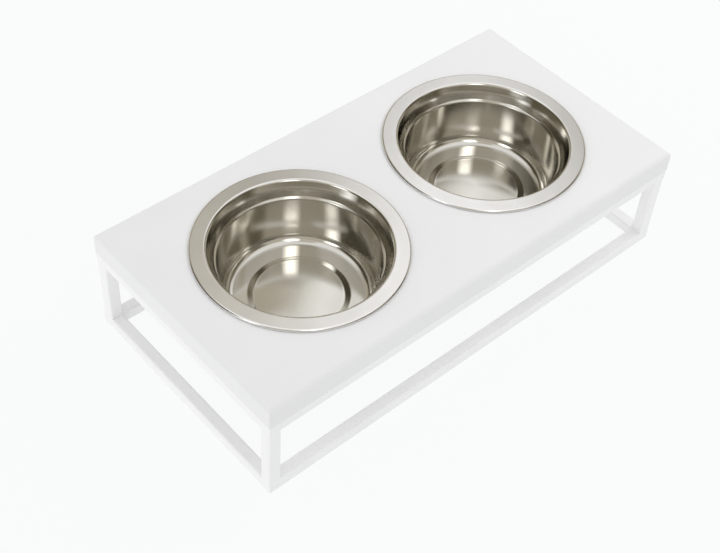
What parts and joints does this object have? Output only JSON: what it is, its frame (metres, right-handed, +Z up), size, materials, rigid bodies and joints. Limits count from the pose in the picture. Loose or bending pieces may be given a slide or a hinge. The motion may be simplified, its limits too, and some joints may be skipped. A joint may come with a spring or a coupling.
{
  "type": "double pet bowl stand",
  "caption": "Low feeding stand: a white board on a welded frame of square tube, with round steel bowls that hang in its holes by their rims and lift out.",
  "frame": {"origin": "on the floor, under the middle of the board", "axes": "+X along the board from the left bowl to the right one, +Y to the back, +Z up"},
  "size_m": [0.4, 0.202, 0.0982],
  "materials": {
    "board": "satin white lacquer",
    "frame": "fine white powder coat",
    "bowl": "satin rim, polished inside",
    "screw": "zinc plated",
    "pad": "matt, pale grey"
  },
  "bodies": {
    "stand": {"top_plate": "board", "plate_screws": "screw", "front_bottom_rail": "frame", "right_bottom_rail": "frame", "back_bottom_rail": "frame", "left_bottom_rail": "frame", "front_top_rail": "frame", "right_top_rail": "frame", "back_top_rail": "frame", "left_top_rail": "frame", "front_left_post": "frame", "front_right_post": "frame", "back_left_post": "frame", "back_right_post": "frame", "front_left_foot_pad": "pad", "front_right_foot_pad": "pad", "back_left_foot_pad": "pad", "back_right_foot_pad": "pad"},
    "left_bowl": {"left_bowl": "bowl"},
    "right_bowl": {"right_bowl": "bowl"}
  },
  "joints": [
    {"name": "left_bowl_lift", "type": "slide", "parent": "stand", "child": "left_bowl", "axis": [0, 0, 1], "range_m": [0, 0.06]},
    {"name": "right_bowl_lift", "type": "slide", "parent": "stand", "child": "right_bowl", "axis": [0, 0, 1], "range_m": [0, 0.06]}
  ]
}
